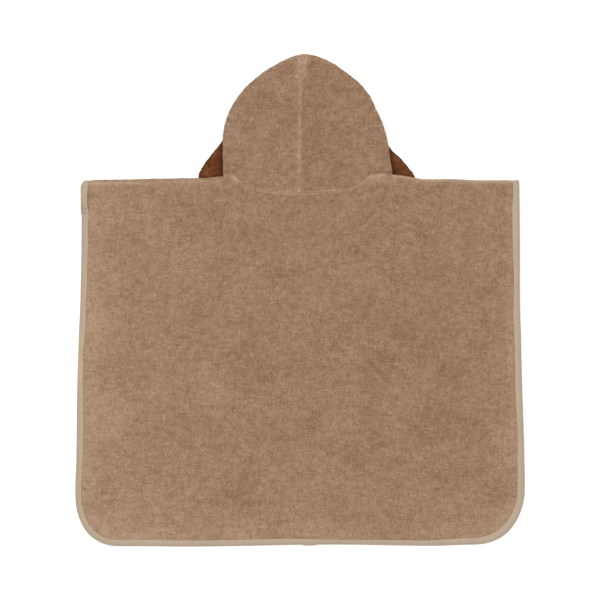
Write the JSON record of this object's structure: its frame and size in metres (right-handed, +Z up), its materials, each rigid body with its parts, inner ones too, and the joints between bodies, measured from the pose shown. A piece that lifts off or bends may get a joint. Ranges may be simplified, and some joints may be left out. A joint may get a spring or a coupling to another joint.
{
  "type": "hooded bath poncho",
  "caption": "Hooded terry bath poncho for a toddler, laid flat with its back up, with bound edges, a pointed hood and floppy brown ears.",
  "frame": {"origin": "middle of the footprint of the laid garment, on the surface that it lies on", "axes": "+X to the right as seen from above, +Y up the garment from the hem to the hood's peak, +Z up from the floor, towards the garment's back"},
  "size_m": [0.6738, 0.7398, 0.011],
  "materials": {
    "terry_beige": "matt looped towelling",
    "terry_brown": "matt looped towelling",
    "tape_pale": "smooth woven cotton tape"
  },
  "bodies": {
    "root": {"front_panel": "terry_beige", "back_panel": "terry_beige", "hood_left": "terry_beige", "hood_right": "terry_beige", "ear_left": "terry_brown", "ear_right": "terry_brown", "edge_binding": "tape_pale"}
  },
  "joints": []
}
